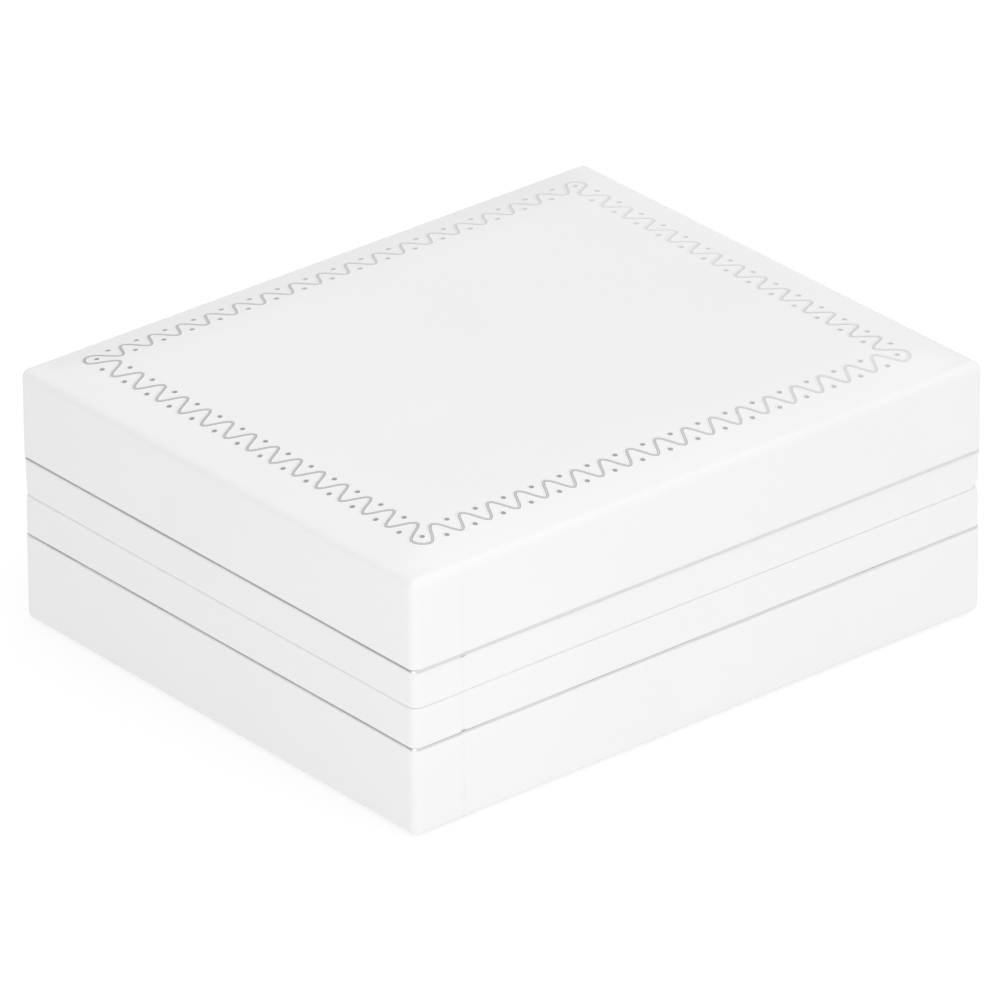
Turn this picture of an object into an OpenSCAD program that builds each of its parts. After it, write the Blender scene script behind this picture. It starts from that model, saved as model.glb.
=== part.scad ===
/* [Box] */
// Width of the box, left to right
box_w = 96; // [90:1:110]
// Depth of the box, front to back
box_d = 80; // [74:1:95]
// Height of the closed seam between base and lid
seam_z = 18.4; // [18:0.1:20]
// Height of the lid's rounded top edge
lid_edge_z = 36.5; // [35.5:0.5:40]
// Extra height of the cushioned top above its edge
crown_rise = 1.5; // [0.8:0.1:2]
// Radius of the four upright corners
corner_r = 1.2; // [1.1:0.1:2.5]
// Radius of the lid's top edge
top_edge_r = 1.4; // [1:0.1:1.8]

/* [Walls] */
// Thickness of the leatherette skin
wrap_t = 0.5; // [0.4:0.05:0.6]
// Thickness of the rigid shells
shell_t = 1.5; // [1.2:0.1:1.8]
// Thickness of the lining
lining_t = 0.6; // [0.5:0.05:0.7]
// Height of the leatherette strip on the base's rim
base_band_h = 5.65; // [5:0.05:6.4]
// Height of the leatherette strip on the lid's rim
lid_band_h = 5.1; // [4.5:0.1:5.5]
// Height of the silver trim lines
trim_h = 0.35; // [0.2:0.05:0.4]

/* [Foil border] */
// Waves along the long sides
waves_long = 17; // [13:1:19]
// Waves along the short sides
waves_short = 14; // [10:1:16]
// From the side walls to the border's middle line
border_margin_x = 7.8; // [7.2:0.05:8.3]
// From the front and back walls to the border's middle line
border_margin_y = 7; // [7:0.05:8.3]
// Half the height of a wave
wave_amp = 1.55; // [1.2:0.05:1.6]
// Width of the foil line
foil_line_w = 0.38; // [0.25:0.01:0.45]
// Diameter of the foil dots
foil_dot_d = 0.68; // [0.4:0.02:0.8]

/* [Insert] */
// Height of the insert pad's top above the table
insert_top_z = 11; // [9:0.5:12]
// Length of the slits that hold a chain
slit_len = 9; // [6:1:11]

/* [Hinges] */
// From the box's middle to each hinge
hinge_x = 24; // [18:1:30]
// Width of a hinge leaf
leaf_w = 18; // [16:1:20]
// Radius of the hinge pins
pin_r = 0.5; // [0.4:0.05:0.55]
// Outer radius of the hinge knuckles
knuckle_r = 1.1; // [1:0.05:1.2]

/* [Hidden] */
$fn = 48;
ARC_STEPS = 6;
MIN_CORNER_R = 0.5;
CUT = 1;
SEAM_GAP = 0.2;
STRIP_INSET = 0.12;
RIM_EDGE_R = 0.8;
STRIP_CAP_T = 0.7;
STRIP_LEG_T = 0.5;
STRIP_LEG_H = 4;
SHEET_T = 0.3;
SHEET_INSET = 2;
FLANGE_W = 8;
FOLD_R = 0.8;
CARD_T = 1;
TOP_FOAM_EDGE_T = 1.2;
FOIL_T = 0.06;
TRIM_INSET = 0.04;

// Insets from the box's outer faces
shell_in = wrap_t + shell_t;
strip_in = shell_in + STRIP_LEG_T;
lining_in = shell_in + lining_t;

// Heights, from the table up
wrap_z0 = SHEET_T;
base_shell_z0 = wrap_z0 + wrap_t;
base_floor_z = base_shell_z0 + shell_t;
insert_z0 = base_floor_z + lining_t;
base_trim_z = seam_z - base_band_h - trim_h;
base_rim_z = seam_z - SEAM_GAP / 2;
base_shell_z1 = base_rim_z - STRIP_CAP_T;
base_leg_z = base_rim_z - STRIP_LEG_H;
lid_rim_z = seam_z + SEAM_GAP / 2;
lid_shell_z0 = lid_rim_z + STRIP_CAP_T;
lid_leg_z = lid_rim_z + STRIP_LEG_H;
lid_trim_z = seam_z + lid_band_h + trim_h;
lid_shell_z1 = lid_edge_z - wrap_t - TOP_FOAM_EDGE_T;
lid_roof_z = lid_shell_z1 - shell_t;
lid_card_z = lid_roof_z - CARD_T;

// The cushioned top rises in three steps from its edge to its flat middle
CROWN_RUN = 12;
CROWN_STEPS = [5, 10, 12];
EDGE_ARC_END = 80;

// Insert pad
insert_gap = 0.3;
velvet_t = 0.7;
velvet_edge_r = 1;
insert_out = lining_in + insert_gap;
insert_core = insert_out + velvet_t;
slit_w = 0.8;
slit_depth = 3.7;
slit_inset = 17;
post_hole_r = 0.7;
post_hole_x = 7;
ribbon_w = 10;
ribbon_t = 0.5;
ribbon_len = 8;
ribbon_clear = 0.3;
ribbon_lift = 0.05;
ribbon_foot_gap = 0.2;
ribbon_from_front = 14;
ribbon_y = ribbon_from_front - box_d / 2;

// Lid pad
pad_gap = 0.4;
satin_t = 0.8;
satin_drop = 3.6;
satin_edge_r = 3;
foam_edge_r = satin_edge_r - satin_t;
pad_foam_z = lid_card_z - satin_drop + satin_t;
pad_out = lining_in + pad_gap;
pad_core = pad_out + satin_t;

// Hinges: the axis lies in the back face at the seam's height
axis_y = box_d / 2;
leaf_t = 0.4;
leaf_clear = 0.2;
pin_clear = 0.05;
bore_r = pin_r + pin_clear;
mid_knuckle = 3.9;
knuckle_gap = 0.2;
knuckle_end = leaf_w / 2 + knuckle_gap;
pin_end = knuckle_end + pin_clear;
pin_head_r = 0.8;
pin_head_t = 0.3;
tab_sink = 0.05;
tab_rise = 2;
tab_offset = knuckle_r - tab_sink;
notch_side = 0.9;
notch_w = leaf_w + 2 * notch_side;
base_notch_h = 1.8;
lid_notch_h = 1.6;
recess_play = 0.1;
notch_in = shell_in + lining_t + recess_play;
recess_w = leaf_w + 2 * leaf_clear;
base_leaf_z0 = 9;
base_leaf_z1 = seam_z - tab_offset + leaf_t;
lid_leaf_z0 = seam_z + tab_offset - leaf_t;
lid_leaf_h = 8.25;
lid_leaf_z1 = lid_leaf_z0 + lid_leaf_h;
leaf_y = axis_y - shell_in - leaf_t;
spring_w = 7;
spring_t = 0.25;
spring_lift = 0.4;
finger_drop = 1.45;
spring_z0 = insert_top_z + spring_lift;
spring_z1 = seam_z - finger_drop;
rivet_r = 0.7;
rivet_clear = 0.03;
rivet_head_r = 1.2;
rivet_tip_r = 0.8;
rivet_head_t = 0.35;
rivet_sink = 0.1;
rivet_tail = wrap_t + rivet_sink;
rivet_x = 6;
base_rivet_z = 13.6;
lid_rivet_z = 24;

// Border: a closed wave with one rounded loop at each corner
FIRST_CREST = 2.9;
WAVE_STEPS = 10;
LOOP_STEPS = 8;
LOOP_R = 1.65;
run_x = box_w - 2 * border_margin_x;
run_y = box_d - 2 * border_margin_y;
pitch_x = (run_x - 2 * FIRST_CREST) / (waves_long - 1);
pitch_y = (run_y - 2 * FIRST_CREST) / (waves_short - 1);
MITRE_GAP = 0.01;
band_rise = crown_at(CROWN_STEPS[1]) - crown_at(CROWN_STEPS[0]);
band_slope = atan(band_rise / (CROWN_STEPS[1] - CROWN_STEPS[0]));

// Colours
LEATHERETTE = [0.95, 0.95, 0.95];
SILVER = [0.72, 0.72, 0.73];
STEEL = [0.78, 0.78, 0.78];
SHELL_WHITE = [0.88, 0.88, 0.87];
VELVET = [0.96, 0.96, 0.95];
SATIN = [0.97, 0.97, 0.96];
FOAM = [0.93, 0.92, 0.88];
CARD = [0.84, 0.82, 0.76];
PAPER = [0.9, 0.9, 0.89];

// Points of an arc, or just its centre where the radius is zero
function arc(x, y, r, from, to) = r <= 0 ? [[x, y]] :
    [for (k = [0:ARC_STEPS]) let (a = from + (to - from) * k / ARC_STEPS) [x + r * cos(a), y + r * sin(a)]];

// Outline of a rectangle with round corners
function rounded_outline(w, d, r) = concat(
    arc(w / 2 - r, d / 2 - r, r, 0, 90), arc(r - w / 2, d / 2 - r, r, 90, 180),
    arc(r - w / 2, r - d / 2, r, 180, 270), arc(w / 2 - r, r - d / 2, r, 270, 360));

// Outline of an upright section with rounded lower and upper edges
function section_outline(w, z0, z1, r0, r1) = concat(
    arc(w / 2 - r1, z1 - r1, r1, 0, 90), arc(r1 - w / 2, z1 - r1, r1, 90, 180),
    arc(r0 - w / 2, z0 + r0, r0, 180, 270), arc(w / 2 - r0, z0 + r0, r0, 270, 360));

function crown_at(t) = crown_rise * (1 - pow(1 - min(t, CROWN_RUN) / CROWN_RUN, 2));

// Right half of the cushioned top: a round edge, then steps up to the flat middle
function crown_half(w, inset, drop, r) = concat(
    arc(w / 2 - inset - r, lid_edge_z - drop - r, r, 0, EDGE_ARC_END),
    [for (t = CROWN_STEPS) [w / 2 - t, lid_edge_z - drop + crown_at(t)]]);

function mirrored(points) = [for (k = [len(points) - 1:-1:0]) [-points[k][0], points[k][1]]];

function crown_outline(w, inset, drop, z0) = let (half = crown_half(w, inset, drop, top_edge_r - inset))
    concat([[w / 2 - inset, z0]], half, mirrored(half), [[inset - w / 2, z0]]);

function radius_at(inset) = max(MIN_CORNER_R, corner_r - inset);

// A section outline pushed through the box from front to back
module across_depth() {
    rotate([90, 0, 0])
        linear_extrude(box_d + 2 * CUT, center = true)
            children();
}

// A section outline pushed through the box from side to side
module across_width() {
    rotate([90, 0, 90])
        linear_extrude(box_w + 2 * CUT, center = true)
            children();
}

// A prism of the box's plan, set in from its outer faces
module plan_prism(inset, z0, z1) {
    translate([0, 0, z0])
        linear_extrude(z1 - z0)
            polygon(rounded_outline(box_w - 2 * inset, box_d - 2 * inset, radius_at(inset)));
}

// The same prism with rounded lower and upper edges
module soft_prism(inset, z0, z1, r0, r1) {
    intersection() {
        plan_prism(inset, z0, z1);
        across_depth()
            polygon(section_outline(box_w - 2 * inset, z0, z1, r0, r1));
        across_width()
            polygon(section_outline(box_d - 2 * inset, z0, z1, r0, r1));
    }
}

module plan_ring(outside, inside, z0, z1) {
    difference() {
        plan_prism(outside, z0, z1);
        plan_prism(inside, z0 - CUT, z1 + CUT);
    }
}

// The lid's cushioned outer form, set in and lowered for the layers below the skin
module cushion(inset, drop, z0) {
    intersection() {
        plan_prism(inset, z0, lid_edge_z + crown_rise + CUT);
        across_depth()
            polygon(crown_outline(box_w, inset, drop, z0));
        across_width()
            polygon(crown_outline(box_d, inset, drop, z0));
    }
}

// Openings through the back wall where the knuckles turn
module knuckle_notches(z0, z1) {
    for (x = [-hinge_x, hinge_x])
        translate([x - notch_w / 2, axis_y - notch_in, z0])
            cube([notch_w, notch_in + CUT, z1 - z0]);
}

// Room for the leaves on the inner face of the back wall
module leaf_recesses(z0, z1) {
    for (x = [-hinge_x, hinge_x])
        translate([x - recess_w / 2, axis_y - notch_in, z0])
            cube([recess_w, notch_in - shell_in, z1 - z0]);
}

module along_back_wall(z) {
    translate([0, axis_y, z])
        rotate([90, 0, 0])
            children();
}

module rivet_holes(offsets, z) {
    for (x = [-hinge_x, hinge_x], dx = offsets)
        translate([x + dx, 0, 0])
            along_back_wall(z)
                cylinder(h = notch_in + CUT, r = rivet_r + rivet_clear);
}

module rivet(x, z, seat) {
    translate([x, 0, 0])
        along_back_wall(z) {
            translate([0, 0, rivet_tail])
                cylinder(h = seat - rivet_tail, r = rivet_r);
            translate([0, 0, seat])
                cylinder(h = rivet_head_t, r1 = rivet_head_r, r2 = rivet_tip_r);
        }
}

// Base

module base_shell() {
    color(SHELL_WHITE)
        difference() {
            plan_prism(wrap_t, base_shell_z0, base_shell_z1);
            plan_prism(shell_in, base_floor_z, base_shell_z1 + CUT);
            knuckle_notches(seam_z - base_notch_h, seam_z);
            rivet_holes([-rivet_x, 0, rivet_x], base_rivet_z);
        }
}

module base_wrap() {
    color(LEATHERETTE)
        difference() {
            soft_prism(0, wrap_z0, base_trim_z, FOLD_R, 0);
            plan_prism(wrap_t, base_shell_z0, base_trim_z + CUT);
            plan_prism(FLANGE_W, 0, base_shell_z0 + CUT);
        }
}

module base_rim_strip() {
    color(LEATHERETTE)
        difference() {
            union() {
                difference() {
                    soft_prism(STRIP_INSET, base_trim_z + trim_h, base_rim_z, 0, RIM_EDGE_R);
                    plan_prism(wrap_t, base_trim_z, base_shell_z1);
                }
                plan_ring(shell_in, strip_in, base_leg_z, base_shell_z1);
            }
            plan_prism(strip_in, base_trim_z, seam_z);
            knuckle_notches(seam_z - base_notch_h, seam_z);
            leaf_recesses(base_leaf_z0, seam_z);
        }
}

module base_trim_line() {
    color(SILVER)
        plan_ring(TRIM_INSET, wrap_t, base_trim_z, base_trim_z + trim_h);
}

module base_bottom_sheet() {
    color(PAPER)
        plan_prism(SHEET_INSET, 0, SHEET_T);
}

module base_lining() {
    color(VELVET)
        difference() {
            plan_prism(shell_in, base_floor_z, base_leg_z);
            plan_prism(lining_in, insert_z0, base_leg_z + CUT);
            leaf_recesses(base_leaf_z0 - leaf_clear, seam_z);
        }
}

// Insert pad

// Slits for a chain, holes for earring posts and the ribbon's slot
module insert_cuts() {
    translate([0, 0, insert_top_z - slit_depth])
        linear_extrude(slit_depth + CUT) {
            for (side = [-1, 1])
                translate([side * (box_w / 2 - slit_inset), box_d / 2 - slit_inset])
                    rotate(side * -45)
                        square([slit_len, slit_w], center = true);
            for (side = [-1, 1])
                translate([side * post_hole_x, 0])
                    circle(post_hole_r);
            translate([0, ribbon_y])
                square([ribbon_w + 2 * ribbon_clear, ribbon_t + ribbon_clear], center = true);
        }
}

module insert_card() {
    color(CARD)
        plan_prism(insert_core, insert_z0, insert_z0 + CARD_T);
}

module insert_foam() {
    color(FOAM)
        difference() {
            plan_prism(insert_core, insert_z0 + CARD_T, insert_top_z - velvet_t);
            insert_cuts();
        }
}

module insert_velvet() {
    color(VELVET)
        difference() {
            soft_prism(insert_out, insert_z0, insert_top_z, 0, velvet_edge_r);
            plan_prism(insert_core, insert_z0 - CUT, insert_top_z - velvet_t);
            insert_cuts();
        }
}

module insert_ribbon() {
    color(SATIN) {
        translate([-ribbon_w / 2, ribbon_y - ribbon_t / 2, insert_top_z - slit_depth + ribbon_foot_gap])
            cube([ribbon_w, ribbon_t, slit_depth]);
        translate([-ribbon_w / 2, ribbon_y - ribbon_len, insert_top_z + ribbon_lift])
            cube([ribbon_w, ribbon_len + ribbon_t / 2, ribbon_t]);
    }
}

// Lid

module lid_shell() {
    color(SHELL_WHITE)
        difference() {
            plan_prism(wrap_t, lid_shell_z0, lid_shell_z1);
            plan_prism(shell_in, lid_shell_z0 - CUT, lid_roof_z);
            knuckle_notches(seam_z, seam_z + lid_notch_h);
            rivet_holes([-rivet_x, rivet_x], lid_rivet_z);
        }
}

module lid_wrap() {
    color(LEATHERETTE)
        difference() {
            cushion(0, 0, lid_trim_z);
            cushion(wrap_t, wrap_t, lid_trim_z - CUT);
        }
}

module lid_top_foam() {
    color(FOAM)
        cushion(wrap_t, wrap_t, lid_shell_z1);
}

module lid_rim_strip() {
    color(LEATHERETTE)
        difference() {
            union() {
                difference() {
                    soft_prism(STRIP_INSET, lid_rim_z, lid_trim_z - trim_h, RIM_EDGE_R, 0);
                    plan_prism(wrap_t, lid_shell_z0, lid_trim_z);
                }
                plan_ring(shell_in, strip_in, lid_shell_z0, lid_leg_z);
            }
            plan_prism(strip_in, seam_z, lid_trim_z);
            knuckle_notches(seam_z, seam_z + lid_notch_h);
            leaf_recesses(seam_z, lid_leaf_z1);
        }
}

module lid_trim_line() {
    color(SILVER)
        plan_ring(TRIM_INSET, wrap_t, lid_trim_z - trim_h, lid_trim_z);
}

module lid_lining() {
    color(SATIN)
        difference() {
            plan_ring(shell_in, lining_in, lid_leg_z, lid_roof_z);
            leaf_recesses(seam_z, lid_leaf_z1 + leaf_clear);
        }
}

module lid_pad_card() {
    color(CARD)
        plan_prism(pad_out, lid_card_z, lid_roof_z);
}

module lid_pad_foam() {
    color(FOAM)
        soft_prism(pad_core, pad_foam_z, lid_card_z, foam_edge_r, 0);
}

module lid_pad_satin() {
    color(SATIN)
        difference() {
            soft_prism(pad_out, lid_card_z - satin_drop, lid_card_z, satin_edge_r, 0);
            soft_prism(pad_core, pad_foam_z, lid_card_z + CUT, foam_edge_r, 0);
        }
}

// Foil border

// The wave of one side, from its first crest to its last
function wave_run(pitch, count) =
    [for (k = [0:WAVE_STEPS * (count - 1)]) let (turns = k / WAVE_STEPS)
        [FIRST_CREST + turns * pitch, wave_amp * cos(360 * turns)]];

// From the last crest down to the loop, seen from the corner dot
function loop_lead(k) = let (s = k / LOOP_STEPS)
    [-FIRST_CREST * (1 - s), (wave_amp - LOOP_R) / 2 + (wave_amp + LOOP_R) / 2 * cos(180 * s)];

// The lead and half of the round loop, past the corner's diagonal
function half_loop() = concat(
    [for (k = [1:LOOP_STEPS]) loop_lead(k)],
    [for (k = [1:LOOP_STEPS]) let (a = -90 + 90 * k / LOOP_STEPS) LOOP_R * [cos(a), sin(a)]]);

// Middle line of one side with a half loop at each end, centred on the side
function side_line(length, pitch, count) = concat(
    [for (k = [2 * LOOP_STEPS - 1:-1:0]) let (p = half_loop()[k]) [-p[0] - length / 2, p[1]]],
    [for (p = wave_run(pitch, count)) [p[0] - length / 2, p[1]]],
    [for (p = half_loop()) [p[0] + length / 2, p[1]]]);

// An open line moved sideways
function moved_sideways(points, shift) = let (last = len(points) - 1)
    [for (k = [0:last]) let (
        along = points[min(k + 1, last)] - points[max(k - 1, 0)],
        unit = along / norm(along))
        points[k] + shift * [unit[1], -unit[0]]];

function strip_outline(points, width) = let (
    left = moved_sideways(points, -width / 2),
    right = moved_sideways(points, width / 2))
    concat(right, [for (k = [len(left) - 1:-1:0]) left[k]]);

module foil_dot(x, y) {
    translate([x, y, 0])
        cylinder(h = FOIL_T, r = foil_dot_d / 2);
}

// Flat foil of one side, with its middle line on the x axis; the box's corners lie at half_w and -margin
module side_foil(length, pitch, count, half_w, margin) {
    reach = half_w - MITRE_GAP;
    inner_y = reach - 2 * margin;
    linear_extrude(FOIL_T)
        intersection() {
            polygon(strip_outline(side_line(length, pitch, count), foil_line_w));
            polygon([[-reach, -margin], [reach, -margin], [margin, inner_y], [-margin, inner_y]]);
        }
    for (k = [0:count - 1])
        foil_dot(FIRST_CREST + k * pitch - length / 2, -wave_amp);
    for (k = [0:count - 2])
        foil_dot(FIRST_CREST + (k + 0.5) * pitch - length / 2, wave_amp);
}

// Lays flat foil on the crown's sloping band beside the front wall of a box this deep
module on_slope(half_d, margin) {
    translate([0, CROWN_STEPS[0] - half_d, lid_edge_z + crown_at(CROWN_STEPS[0])])
        rotate([band_slope, 0, 0])
            translate([0, margin - CROWN_STEPS[0], 0])
                children();
}

module lid_border_foil() {
    color(SILVER)
        for (half = [0, 180]) {
            rotate(half)
                on_slope(box_d / 2, border_margin_y) {
                    side_foil(run_x, pitch_x, waves_long, box_w / 2, border_margin_y);
                    for (side = [-1, 1])
                        foil_dot(side * run_x / 2, 0);
                }
            rotate(half + 90)
                on_slope(box_w / 2, border_margin_x)
                    side_foil(run_y, pitch_y, waves_short, box_d / 2, border_margin_x);
        }
}

// Hinges

module knuckle(from, to) {
    translate([from, axis_y, seam_z])
        rotate([0, 90, 0])
            cylinder(h = to - from, r = knuckle_r);
}

module knuckle_bore() {
    translate([-leaf_w, axis_y, seam_z])
        rotate([0, 90, 0])
            cylinder(h = 2 * leaf_w, r = bore_r);
}

module leaf_rivet_holes(offsets, z) {
    for (dx = offsets)
        translate([dx, 0, 0])
            along_back_wall(z)
                cylinder(h = notch_in + CUT, r = rivet_r + rivet_clear);
}

// Plate inside the back wall, with two outer knuckles
module base_leaf() {
    tab_x = mid_knuckle + knuckle_gap;
    tab_w = knuckle_end - tab_x;
    color(STEEL)
        difference() {
            union() {
                translate([-leaf_w / 2, leaf_y, base_leaf_z0])
                    cube([leaf_w, leaf_t, base_leaf_z1 - base_leaf_z0 - tab_rise]);
                for (side = [0, 1])
                    mirror([side, 0, 0]) {
                        translate([tab_x, leaf_y, base_leaf_z0])
                            cube([tab_w, leaf_t, base_leaf_z1 - base_leaf_z0]);
                        translate([tab_x, leaf_y, base_leaf_z1 - leaf_t])
                            cube([tab_w, axis_y - leaf_y, leaf_t]);
                        knuckle(tab_x, knuckle_end);
                    }
            }
            knuckle_bore();
            leaf_rivet_holes([-rivet_x, 0, rivet_x], base_rivet_z);
        }
}

// Plate inside the lid's back wall, with the middle knuckle
module lid_leaf() {
    color(STEEL)
        difference() {
            union() {
                translate([-leaf_w / 2, leaf_y, lid_leaf_z0])
                    cube([leaf_w, leaf_t, lid_leaf_z1 - lid_leaf_z0]);
                translate([-mid_knuckle, leaf_y, lid_leaf_z0])
                    cube([2 * mid_knuckle, axis_y - leaf_y, leaf_t]);
                knuckle(-mid_knuckle, mid_knuckle);
            }
            knuckle_bore();
            leaf_rivet_holes([-rivet_x, rivet_x], lid_rivet_z);
        }
}

module hinge_pin() {
    color(STEEL)
        translate([0, axis_y, seam_z])
            rotate([0, 90, 0]) {
                cylinder(h = 2 * pin_end, r = pin_r, center = true);
                for (side = [0, 1])
                    mirror([0, 0, side])
                        translate([0, 0, pin_end])
                            cylinder(h = pin_head_t, r = pin_head_r);
            }
}

// Flat strip on the base leaf, with a finger that presses up under the middle knuckle
module hinge_spring() {
    color(STEEL)
        difference() {
            union() {
                translate([-spring_w / 2, leaf_y - spring_t, spring_z0])
                    cube([spring_w, spring_t, spring_z1 - spring_z0]);
                translate([-spring_w / 2, leaf_y - spring_t, spring_z1 - spring_t])
                    cube([spring_w, axis_y - leaf_y, spring_t]);
            }
            leaf_rivet_holes([0], base_rivet_z);
        }
}

module hinge_left_base_leaf() {
    translate([-hinge_x, 0, 0])
        base_leaf();
}

module hinge_right_base_leaf() {
    translate([hinge_x, 0, 0])
        base_leaf();
}

module hinge_left_lid_leaf() {
    translate([-hinge_x, 0, 0])
        lid_leaf();
}

module hinge_right_lid_leaf() {
    translate([hinge_x, 0, 0])
        lid_leaf();
}

module hinge_left_pin() {
    translate([-hinge_x, 0, 0])
        hinge_pin();
}

module hinge_right_pin() {
    translate([hinge_x, 0, 0])
        hinge_pin();
}

module hinge_left_spring() {
    translate([-hinge_x, 0, 0])
        hinge_spring();
}

module hinge_right_spring() {
    translate([hinge_x, 0, 0])
        hinge_spring();
}

// The middle rivet of each base leaf also holds its spring
module base_hinge_rivets() {
    color(STEEL)
        for (x = [-hinge_x, hinge_x]) {
            for (dx = [-rivet_x, rivet_x])
                rivet(x + dx, base_rivet_z, shell_in + leaf_t);
            rivet(x, base_rivet_z, shell_in + leaf_t + spring_t);
        }
}

module lid_hinge_rivets() {
    color(STEEL)
        for (x = [-hinge_x, hinge_x], dx = [-rivet_x, rivet_x])
            rivet(x + dx, lid_rivet_z, shell_in + leaf_t);
}

base_shell();
base_wrap();
base_rim_strip();
base_trim_line();
base_bottom_sheet();
base_lining();
insert_card();
insert_foam();
insert_velvet();
insert_ribbon();
hinge_left_base_leaf();
hinge_right_base_leaf();
hinge_left_pin();
hinge_right_pin();
hinge_left_spring();
hinge_right_spring();
base_hinge_rivets();
lid_shell();
lid_wrap();
lid_top_foam();
lid_rim_strip();
lid_trim_line();
lid_border_foil();
lid_lining();
lid_pad_card();
lid_pad_foam();
lid_pad_satin();
hinge_left_lid_leaf();
hinge_right_lid_leaf();
lid_hinge_rivets();
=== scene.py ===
"""The looks of a white leatherette jewelry box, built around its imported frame, in metres."""

import math

import bmesh
import bpy
import numpy as np
from mathutils import Matrix, Vector, noise


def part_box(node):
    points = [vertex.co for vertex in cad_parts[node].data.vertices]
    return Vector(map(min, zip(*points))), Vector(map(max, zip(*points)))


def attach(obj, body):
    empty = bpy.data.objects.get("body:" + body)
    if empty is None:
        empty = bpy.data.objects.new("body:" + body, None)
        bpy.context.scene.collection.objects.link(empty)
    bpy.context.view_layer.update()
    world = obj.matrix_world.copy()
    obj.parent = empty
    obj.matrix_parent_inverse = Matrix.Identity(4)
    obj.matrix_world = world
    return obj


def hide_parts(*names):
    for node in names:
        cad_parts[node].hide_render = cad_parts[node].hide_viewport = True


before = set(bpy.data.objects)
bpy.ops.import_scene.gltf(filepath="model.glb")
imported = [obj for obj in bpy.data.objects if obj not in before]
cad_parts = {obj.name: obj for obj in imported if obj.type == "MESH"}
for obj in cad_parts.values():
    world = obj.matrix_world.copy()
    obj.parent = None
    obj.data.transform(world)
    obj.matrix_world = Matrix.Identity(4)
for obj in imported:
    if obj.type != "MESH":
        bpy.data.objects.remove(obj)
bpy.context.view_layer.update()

MM = 0.001

# ---------------------------------------------------------------- places, read from the frame

WRAP_LOW, WRAP_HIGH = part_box("base_wrap")
HALF_W = WRAP_HIGH[0]
HALF_D = WRAP_HIGH[1]
LID_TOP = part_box("lid_wrap")[1][2]
SHELL_INSET = HALF_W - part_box("base_shell")[1][0]
# The foil lines show a little less of their height on the base and a little more on the lid.
BASE_TRIM_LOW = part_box("base_trim_line")[0][2] + 0.05 * MM
BASE_TRIM_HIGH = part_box("base_trim_line")[1][2]
LID_TRIM_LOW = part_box("lid_trim_line")[0][2]
LID_TRIM_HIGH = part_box("lid_trim_line")[1][2] + 0.1 * MM
BASE_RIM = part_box("base_rim_strip")[1][2]
LID_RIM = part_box("lid_rim_strip")[0][2]
SEAM = (BASE_RIM + LID_RIM) / 2
LINING_OUT = HALF_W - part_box("base_lining")[1][0]

# ---------------------------------------------------------------- sizes of the visible forms

# The walls, from outside in
CORNER_R = 1.2 * MM
INNER_CORNER_R = 0.5 * MM
WRAP_T = 0.5 * MM
WALL_IN = SHELL_INSET + 1.5 * MM
STRIP_INSET = 0.12 * MM
STRIP_LEG = 0.5 * MM
STRIP_CAP = 0.8 * MM
LINING_T = 0.6 * MM
LINING_IN = LINING_OUT + LINING_T
SOFT_EDGE = 0.25 * MM
# The skins' edges
FOLD_R = 0.8 * MM
FOLD_FLANGE = 8 * MM
SKIN_LIP = 0.08 * MM
BASE_RIM_R = 0.3 * MM
LID_RIM_R = 0.1 * MM
RIM_GAP = 0.04 * MM
# Where the covering's end laps over its start, and by how much
FLAP_END = -HALF_W + 8.2 * MM
FLAP_STEP = 0.07 * MM
# How far along and up the strips are drawn in at the corners, and how far they are tucked in at one of them
PULL_REACH = 3 * MM
PULL_HEIGHT = 1.6 * MM
PULL_DEPTH = 0.2 * MM
TUCK_REACH = 1.6 * MM
TUCK_HEIGHT = 0.8 * MM
# Cuts for the hinges in the back wall
KNUCKLE_HALF = 9.9 * MM
LEAF_HALF = 9.2 * MM
NOTCH_DEPTH = 2.7 * MM
CUT_PLAY = 0.01 * MM
# The cushioned top
LID_EDGE_R = 1.4 * MM
LID_EDGE_Z = LID_TOP - 1.5 * MM
LID_EDGE_END = math.radians(80)
CROWN_RUN = 12 * MM

# ---------------------------------------------------------------- outlines of the box's plan

LONG_SEGMENTS = 120
SHORT_SEGMENTS = 100
CORNER_SEGMENTS = 8


def along_side(segments, extra=()):
    """Places along a side from -1 to 1, with extra ones where a step needs a crisp edge."""
    return sorted([-1 + 2 * k / segments for k in range(segments + 1)] + list(extra))


def plan_template():
    """A tuple for each point round the plan: corner sign x and y, place along the side, and outward angle."""
    flap = FLAP_END / (HALF_W - CORNER_R)
    step = 0.12 * MM / HALF_W
    front = along_side(LONG_SEGMENTS, (flap - step, flap + step))
    entries = [(0, -1, t, -90.0) for t in front]
    corners = ((1, -1, -90.0), (1, 1, 0.0), (-1, 1, 90.0), (-1, -1, 180.0))
    sides = {
        (1, -1): [(1, 0, t, 0.0) for t in along_side(SHORT_SEGMENTS)],
        (1, 1): [(0, 1, -t, 90.0) for t in along_side(LONG_SEGMENTS)],
        (-1, 1): [(-1, 0, -t, 180.0) for t in along_side(SHORT_SEGMENTS)],
    }
    for sx, sy, start in corners:
        for k in range(1, CORNER_SEGMENTS):
            entries.append((sx, sy, None, start + 90.0 * k / CORNER_SEGMENTS))
        entries += sides.get((sx, sy), [])
    return entries


TEMPLATE = plan_template()
COUNT = len(TEMPLATE)
ANGLES = np.radians([entry[3] for entry in TEMPLATE])
NORMALS = np.stack([np.cos(ANGLES), np.sin(ANGLES)], axis=1)


def plan_ring(inset, radius):
    """The plan's outline, set in from the outer faces."""
    half = (HALF_W - inset - radius, HALF_D - inset - radius)
    points = np.zeros((COUNT, 2))
    for k, (sx, sy, t, _) in enumerate(TEMPLATE):
        if t is None:
            share = (sx, sy)
        elif sy:
            share = (t, sy)
        else:
            share = (sx, t)
        points[k] = np.multiply(share, half)
    return points + NORMALS * radius


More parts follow.
